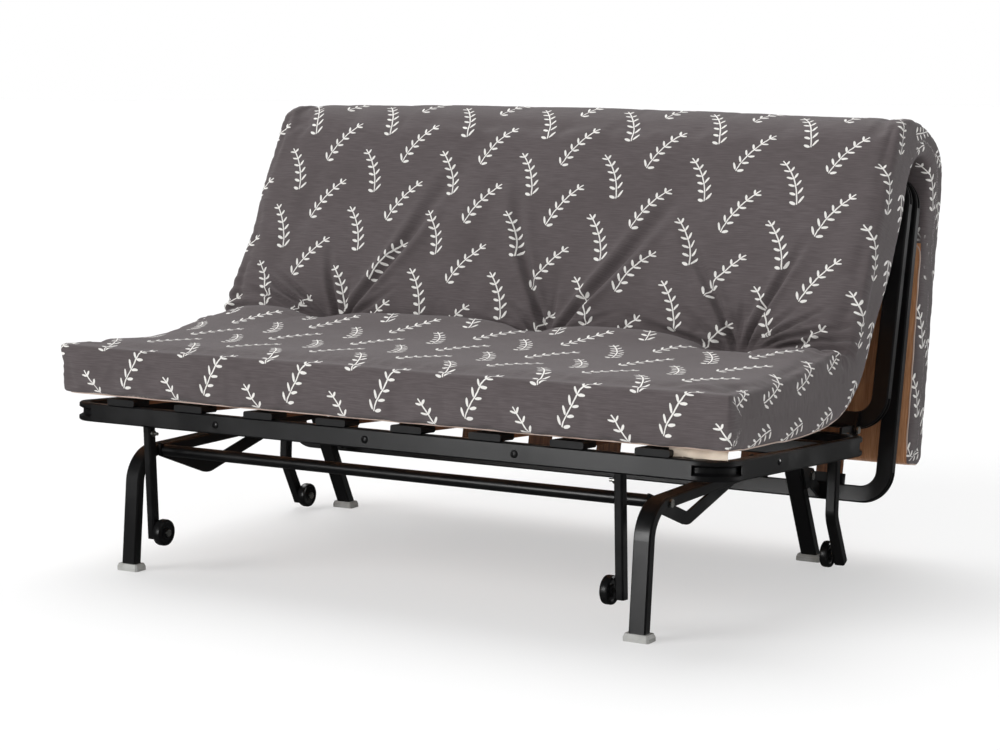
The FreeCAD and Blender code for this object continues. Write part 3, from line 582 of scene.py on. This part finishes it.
def settle(piece, rest, run):
    """Let the cover swell and wrinkle as loose cloth over the foam, held where it is sewn and laid."""
    past = run - CREASE_RUN
    hold = np.where(run > COVER_END, 1.0, 0.0)
    for gather in GATHERS:
        hold = np.maximum(hold, 1 - ramp(np.hypot(rest[:, 0] - gather, past), 0.012, 0.05))
    hold = np.maximum(hold, 0.6 * np.exp(-(past / 0.025) ** 2))
    hold = np.maximum(hold, 0.9 * np.exp(-((run - EDGE_RUN) / 0.03) ** 2))
    hold = np.maximum(hold, 0.8 * ramp(np.abs(rest[:, 0]), 0.675, 0.695))
    group = piece.vertex_groups.new(name="sewn")
    for level in np.unique(np.round(hold, 1)):
        chosen = np.nonzero(np.round(hold, 1) == level)[0].tolist()
        group.add(chosen, float(level), "REPLACE")
    cloth = piece.modifiers.new("cover", "CLOTH")
    setting = cloth.settings
    setting.quality = 5
    setting.mass = 0.3
    setting.tension_stiffness = setting.compression_stiffness = 12
    setting.shear_stiffness = 6
    setting.bending_stiffness = 0.6
    setting.use_pressure = True
    setting.uniform_pressure_force = 1.6
    setting.shrink_min = -0.035
    setting.vertex_group_mass = "sewn"
    setting.effector_weights.gravity = 0
    scene = bpy.context.scene
    for number in range(1, CLOTH_STEPS + 1):
        scene.frame_set(number)
    evaluated_mesh(piece)
    scene.frame_set(1)
    moved = points_of(piece.data) - rest
    far = np.linalg.norm(moved, axis=1)
    keep = CLOTH_REACH * np.tanh(far / CLOTH_REACH) / np.maximum(far, 1e-9)
    set_points(piece.data, rest + moved * keep[:, None])


def whole_mattress():
    piece = slab()
    points = points_of(piece.data)
    run, gap = along_section(points)
    set_points(piece.data, points + normals_of(piece.data) * rolls(points, run, gap)[:, None])
    settle(piece, points_of(piece.data), run)
    finer = piece.modifiers.new("finer", "SUBSURF")
    finer.levels = finer.render_levels = 1
    evaluated_mesh(piece)
    points = points_of(piece.data)
    run, gap = along_section(points)
    lay_cloth(piece.data, points, run, gap)
    set_points(piece.data, front_edge(points, run, gap) + hem(points, run, gap) + worn(points))
    points = points_of(piece.data)
    set_points(piece.data, points + normals_of(piece.data) * folds(points, run, gap)[:, None])
    piece.data.shade_smooth()
    return piece


# The crown's bend: its pivot (y, z) and the slope of the way through it, in degrees
CROWN_PIVOT, CROWN_SLOPE = (0.28804, 0.85770), 20.95
# Half width of the brown underside, and how far up it goes on the rear length and on the back
BROWN_HALF, REAR_BROWN_TOP, BACK_BROWN_TOP = 0.6955, 0.605, 0.49


def lay_cloth(mesh, points, run, gap):
    """Give the mesh its way along the cloth, and its underside the other material.

    The way's third part is 1 on the ends at the crown's bend, which stretch when the bed opens, so the
    print is left off there.
    """
    x = points[:, 0]
    rim = np.clip(gap - 0.004, 0, None) * ramp(np.abs(x), 0.66, 0.69)
    way = np.zeros((len(points), 3), np.float32)
    way[:, 0] = np.sign(x) * (np.abs(x) + rim)
    way[:, 1] = run
    slope = math.radians(CROWN_SLOPE)
    off_bend = ((points[:, 1] - CROWN_PIVOT[0]) * math.cos(slope)
                + (points[:, 2] - CROWN_PIVOT[1]) * math.sin(slope))
    way[:, 2] = ramp(np.abs(x), 0.680, 0.694) * (1 - ramp(np.abs(off_bend - 0.003), 0.010, 0.022))
    mesh.attributes.new("cover_way", "FLOAT_VECTOR", "POINT").data.foreach_set("vector", way.ravel())
    brown_top = np.where(run < HOLLOW_RUN, REAR_BROWN_TOP, BACK_BROWN_TOP)
    under = (run > COVER_END) & (np.abs(x) < BROWN_HALF) & (points[:, 2] < brown_top)
    corners = np.empty(len(mesh.loops), np.int32)
    mesh.loops.foreach_get("vertex_index", corners)
    starts = np.empty(len(mesh.polygons), np.int32)
    mesh.polygons.foreach_get("loop_start", starts)
    sides = np.logical_and.reduceat(under[corners], starts)
    mesh.materials.clear()
    mesh.materials.append(FINISHES["cover_fabric"])
    mesh.materials.append(UNDERSIDE)
    mesh.polygons.foreach_set("material_index", sides.astype(np.int32))
    mesh.update()


# The binding's half thickness, how far it stands out, how often its line is smoothed and the
# fewest edges that make a line
TAPE_HALF, TAPE_OUT, TAPE_SMOOTHED, TAPE_FEWEST = 0.0014, 0.0006, 24, 300


def piping(mesh):
    """Line of the edge where cover and underside meet, as a thin tube."""
    bm = bmesh.new()
    bm.from_mesh(mesh)
    seam = [edge for edge in bm.edges if len({face.material_index for face in edge.link_faces}) == 2]
    outward = {vert: vert.normal.copy() for edge in seam for vert in edge.verts}
    chains = []
    left = dict.fromkeys(seam)
    while left:
        edge = next(iter(left))
        del left[edge]
        chain = list(edge.verts)
        while True:
            tip = chain[-1]
            ahead = [link for link in tip.link_edges if link in left]
            if not ahead:
                break
            del left[ahead[0]]
            chain.append(ahead[0].other_vert(tip))
        chains.append(chain)
    curve = bpy.data.curves.new("binding", "CURVE")
    curve.dimensions = "3D"
    curve.bevel_depth, curve.bevel_resolution = TAPE_HALF, 2
    for chain in chains:
        if len(chain) < TAPE_FEWEST:
            continue
        line = np.array([vert.co for vert in chain])
        lift = np.array([outward[vert] for vert in chain])
        for _ in range(TAPE_SMOOTHED):
            line = (np.roll(line, 1, axis=0) + 2 * line + np.roll(line, -1, axis=0)) / 4
            lift = (np.roll(lift, 1, axis=0) + 2 * lift + np.roll(lift, -1, axis=0)) / 4
        lift /= np.linalg.norm(lift, axis=1)[:, None]
        line = (line + lift * TAPE_OUT)[::2]
        spline = curve.splines.new("POLY")
        spline.points.add(len(line) - 1)
        for point, place in zip(spline.points, line):
            point.co = (*place, 1)
        spline.use_cyclic_u = True
    bm.free()
    holder = bpy.data.objects.new("binding", curve)
    tube = bpy.data.meshes.new_from_object(holder)
    bpy.data.objects.remove(holder)
    bpy.data.curves.remove(curve)
    return tube


def cut(mesh, planes):
    """The part of a mesh on the near side of every plane (point, normal), closed where it is cut."""
    bm = bmesh.new()
    bm.from_mesh(mesh)
    for point, normal in planes:
        bmesh.ops.bisect_plane(bm, geom=bm.verts[:] + bm.edges[:] + bm.faces[:], dist=1e-6,
                               plane_co=point, plane_no=normal, clear_outer=True)
        rim = [edge for edge in bm.edges if edge.is_boundary]
        bmesh.ops.holes_fill(bm, edges=rim, sides=0)
    return bm


def keep_normals(mesh):
    """Shade the cut piece with the whole mattress's own normals, and its cut faces flat."""
    stored = np.empty(len(mesh.vertices) * 3, np.float32)
    mesh.attributes["whole_normal"].data.foreach_get("vector", stored)
    stored = stored.reshape(-1, 3)
    stored /= np.maximum(np.linalg.norm(stored, axis=1), 1e-9)[:, None]
    holders = np.empty(len(mesh.loops), np.int32)
    mesh.loops.foreach_get("vertex_index", holders)
    corners = stored[holders]
    for face in mesh.polygons:
        if face.loop_total > 8:
            corners[face.loop_start:face.loop_start + face.loop_total] = face.normal
    mesh.attributes.remove(mesh.attributes["whole_normal"])
    mesh.normals_split_custom_set(corners.tolist())


def at(y, z):
    return Vector((0, y, z))


def heading(degrees):
    turn = math.radians(degrees)
    return Vector((0, math.cos(turn), math.sin(turn)))


# Where the mattress bends: the pivot, the way through the bend and how far it reaches each side.
# The crown's bend is listed as 1 mm wide, between two rows of the mesh
SEAT_BEND, CROWN_BEND, REAR_BEND = at(0.03288, 0.33422), at(*CROWN_PIVOT), at(0.45628, 0.76704)
TOP_CUT = (at(0.372, 0.812), heading(-19.1))
BACK_CUT = (at(0.1784, 0.5966), heading(61.0))
LENGTHS = {
    "seat": ([TOP_CUT, BACK_CUT], "seat_section", "back_pad",
             SEAT_BEND, heading(28.5), -0.10, 0.12, ("mattress_seat", "mattress_seat_fold")),
    "back": ([TOP_CUT, (BACK_CUT[0], -BACK_CUT[1])], "back_pad", "top_pad",
             CROWN_BEND, heading(CROWN_SLOPE), 0.0028, 0.0038, ("mattress_back", "mattress_top_fold")),
    "rear": ([(TOP_CUT[0], -TOP_CUT[1])], "top_pad", "rear_pad",
             REAR_BEND, heading(-59.15), -0.055, 0.03, ("mattress_rear",)),
}
# Lengths whose underside shows, with a binding round it
BOUND = ("seat", "rear")


def mattress():
    whole = whole_mattress()
    normals = normals_of(whole.data).astype(np.float32)
    whole.data.attributes.new("whole_normal", "FLOAT_VECTOR", "POINT").data.foreach_set(
        "vector", normals.ravel())
    tube = piping(whole.data)
    for name, (planes, first_body, second_body, pivot, way, start, end, stands) in LENGTHS.items():
        pad = new_piece(f"mattress_{name}_pad", cut(whole.data, planes),
                        FINISHES["cover_fabric"], UNDERSIDE)
        keep_normals(pad.data)
        pieces = [pad]
        if name in BOUND:
            pieces.append(new_piece(f"binding_{name}", cut(tube, planes), BINDING))
        for piece in pieces:
            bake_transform(piece)
        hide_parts(*stands)
    bpy.data.objects.remove(whole)
    bpy.data.meshes.remove(tube)


mattress()


# Wheels

def wheel(name, body, node):
    """Moulded wheel with a rounded tread, a dished face and a raised hub."""
    low, high = (Vector(corner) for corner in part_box(node))
    centre = (low + high) / 2
    half, radius = (high.x - low.x) / 2, (high.z - low.z) / 2
    outside = 1 if centre.x > 0 else -1
    profile = [(-1.0, 0.17), (-1.0, 0.42), (-0.72, 0.46), (-0.72, 0.74), (-0.94, 0.78), (-0.94, 0.90),
               (-0.80, 0.97), (-0.5, 1.0), (0.5, 1.0), (0.80, 0.97), (0.94, 0.90), (0.94, 0.78),
               (0.55, 0.74), (0.55, 0.46), (1.0, 0.42), (1.0, 0.17)]
    bm = bmesh.new()
    ring = [bm.verts.new((across * half * outside, 0, out * radius)) for across, out in profile]
    edges = [bm.edges.new(pair) for pair in zip(ring, ring[1:] + ring[:1])]
    bmesh.ops.spin(bm, geom=ring + edges, cent=(0, 0, 0), axis=(1, 0, 0), angle=2 * math.pi, steps=48,
                   use_merge=True)
    bmesh.ops.remove_doubles(bm, verts=bm.verts, dist=1e-6)
    bmesh.ops.recalc_face_normals(bm, faces=bm.faces)
    bmesh.ops.translate(bm, verts=bm.verts, vec=centre)
    piece = new_piece(name, bm, FINISHES["wheel_black"])
    piece.data.set_sharp_from_angle(angle=math.radians(35))
    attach(piece, body)
    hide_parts(node)


for side, short in (("left", "l"), ("right", "r")):
    for end in ("front", "rear"):
        wheel(f"{end}_tyre_{side}", f"{end}_wheel_{short}", f"{end}_wheel_{side}")


# Screws and rivets

SEAT_TURN = Matrix.Translation((0, -0.462, 0.2925)) @ Matrix.Rotation(math.radians(-4.1), 4, "X")


def domed_head(name, body, place, facing, width, material, recess=0.0):
    """Low domed screw head with a flange and a driver recess, facing along a direction."""
    bm = bmesh.new()
    half = width / 2
    profile = [(0.0, half), (0.0006, half), (0.0012, half * 0.9), (0.0021, half * 0.6),
               (0.0025, half * 0.34)]
    if recess:
        profile += [(0.0025 - recess, half * 0.26)]
    line = [bm.verts.new((out, 0, up)) for up, out in profile]
    line.append(bm.verts.new((0, 0, profile[-1][0])))
    edges = [bm.edges.new(pair) for pair in zip(line, line[1:])]
    bmesh.ops.spin(bm, geom=line + edges, cent=(0, 0, 0), axis=(0, 0, 1), angle=2 * math.pi, steps=24,
                   use_merge=True)
    bmesh.ops.remove_doubles(bm, verts=bm.verts, dist=1e-6)
    bmesh.ops.holes_fill(bm, edges=[edge for edge in bm.edges if edge.is_boundary], sides=0)
    bmesh.ops.recalc_face_normals(bm, faces=bm.faces)
    turn = Vector((0, 0, 1)).rotation_difference(Vector(facing)).to_matrix().to_4x4()
    bmesh.ops.transform(bm, matrix=Matrix.Translation(place) @ turn, verts=bm.verts)
    piece = new_piece(name, bm, material)
    piece.data.set_sharp_from_angle(angle=math.radians(40))
    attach(piece, body)


front_face = SEAT_TURN.to_3x3() @ Vector((0, -1, 0))
for number, x in enumerate((-0.335, -0.005, 0.30)):
    domed_head(f"rail_rivet_{number}", "seat_section", SEAT_TURN @ Vector((x, -0.0100, -0.001)),
               front_face, 0.014, FINISHES["frame_black"], 0.0012)
for number, side in enumerate((-1, 1)):
    domed_head(f"side_rivet_{number}", "seat_section", SEAT_TURN @ Vector((side * 0.694, 0.20, 0.002)),
               (side, 0, 0), 0.012, FINISHES["frame_black"], 0.0012)


# Lining

def corner_lining():
    """Pale lining that hangs a little out of the mattress's front right corner, down to the rail."""
    finish = Finish("cream_lining", Specular_IOR_Level=0.25)
    crumple = finish.noise(finish.place(), 60.0, 3.0)
    material = finish.look(Base_Color=finish.mix(crumple, rgb(204, 190, 172), rgb(222, 210, 194)),
                           Roughness=0.8 + crumple * 0.15, Normal=finish.bump(crumple, 0.4, 0.002))
    bm = bmesh.new()
    bmesh.ops.create_grid(bm, x_segments=28, y_segments=6, size=0.5)
    bmesh.ops.transform(bm, verts=bm.verts, matrix=Matrix.Diagonal((0.106, 0.016, 1, 1)))
    for vert in bm.verts:
        along, up = vert.co.x, vert.co.y
        wave = 0.0016 * math.sin(along * 170) + 0.0012 * math.sin(along * 83 + up * 260)
        vert.co = (0.636 + along, -0.4545 + wave + 0.18 * up, 0.3195 + up * (1 - 2.5 * max(along, 0)))
    bmesh.ops.solidify(bm, geom=bm.faces, thickness=0.0016)
    bmesh.ops.recalc_face_normals(bm, faces=bm.faces)
    piece = new_piece("corner_lining", bm, material)
    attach(piece, "seat_section")


corner_lining()


# Floor, light and camera

FLOOR_GREY = (0.88, 0.88, 0.88, 1)
# How bright floor and room look in the black tubes, and the room's even light on the object
FLOOR_IN_SHINE, ROOM_IN_SHINE, ROOM_LIGHT = 0.04, 0.05, 0.30
# Share of plain white in the floor as the camera sees it
FLOOR_WHITE = 0.5


def floor():
    """Pale floor that keeps a soft shadow, and looks dim in the shine of the black tubes."""
    bm = bmesh.new()
    bmesh.ops.create_grid(bm, x_segments=1, y_segments=1, size=40)
    material = bpy.data.materials.new("pale_floor")
    pale = Nodes(material)
    lit = pale.node("ShaderNodeBsdfDiffuse", {}, {"Color": FLOOR_GREY})
    seen = pale.one_or_other(pale.ray("Is Camera Ray") * FLOOR_WHITE, lit,
                             pale.glow("ShaderNodeEmission", 1.0))
    shine = pale.one_or_other(pale.ray("Is Glossy Ray"), seen,
                              pale.glow("ShaderNodeEmission", FLOOR_IN_SHINE))
    pale.node("ShaderNodeOutputMaterial", {}, {0: shine})
    new_piece("floor", bm, material, smooth=False)


def sky():
    """White behind the object, a dimmer even light on it and a dim room in its shine."""
    world = bpy.data.worlds.new("studio")
    bpy.context.scene.world = world
    room = Nodes(world)
    looked_at = room.ray("Is Camera Ray").math("MAXIMUM", room.ray("Is Transmission Ray"))
    seen = room.one_or_other(looked_at, room.glow("ShaderNodeBackground", ROOM_LIGHT),
                             room.glow("ShaderNodeBackground", 1.0))
    shine = room.one_or_other(room.ray("Is Glossy Ray"), seen,
                              room.glow("ShaderNodeBackground", ROOM_IN_SHINE))
    room.node("ShaderNodeOutputWorld", {}, {0: shine})


def broad_light(name, toward, spread, strength, shine=False):
    """Even light from one side of the room, given as the way to it."""
    light = bpy.data.lights.new(name, "SUN")
    light.angle, light.energy = math.radians(spread), strength
    lamp = bpy.data.objects.new(name, light)
    lamp.rotation_euler = Vector(toward).to_track_quat("Z", "Y").to_euler()
    lamp.visible_glossy = shine
    bpy.context.scene.collection.objects.link(lamp)


def softbox(name, place, target, size, watts):
    """Panel that shows as a highlight on the black tubes."""
    light = bpy.data.lights.new(name, "AREA")
    light.shape, light.size, light.energy = "SQUARE", size, watts
    lamp = bpy.data.objects.new(name, light)
    lamp.location = place
    lamp.rotation_euler = (Vector(target) - Vector(place)).to_track_quat("-Z", "Y").to_euler()
    lamp.visible_diffuse = False
    bpy.context.scene.collection.objects.link(lamp)


def camera():
    azimuth, elevation, roll = math.radians(30.908), math.radians(7.82), math.radians(-0.268)
    back = Vector((math.sin(azimuth) * math.cos(elevation), -math.cos(azimuth) * math.cos(elevation),
                   math.sin(elevation)))
    right = Vector((math.cos(azimuth), math.sin(azimuth), 0))
    up = back.cross(right)
    right, up = (right * math.cos(roll) + up * math.sin(roll),
                 up * math.cos(roll) - right * math.sin(roll))
    lens = bpy.data.cameras.new("photo_camera")
    lens.sensor_fit, lens.sensor_width, lens.lens = "HORIZONTAL", 36.0, 82.57
    viewer = bpy.data.objects.new("photo_camera", lens)
    turn = Matrix((right, up, back)).transposed().to_4x4()
    viewer.matrix_world = Matrix.Translation((2.2426, -3.7621, 0.9519)) @ turn
    bpy.context.scene.collection.objects.link(viewer)
    bpy.context.scene.camera = viewer


floor()
sky()
broad_light("overhead", (-0.35, 0.45, 0.85), 50, 2.45, shine=True)
broad_light("window", (-0.62, -0.66, 0.42), 34, 1.75)
broad_light("room", (0.55, -0.80, 0.20), 60, 0.8)
softbox("front", (-1.4, -4.4, 1.0), (0, -0.3, 0.4), 1.6, 52)
softbox("side", (3.4, 2.6, 1.3), (0.4, 0, 0.4), 2.0, 90)
camera()
bpy.context.scene.view_settings.view_transform = "Standard"

bpy.context.view_layer.update()
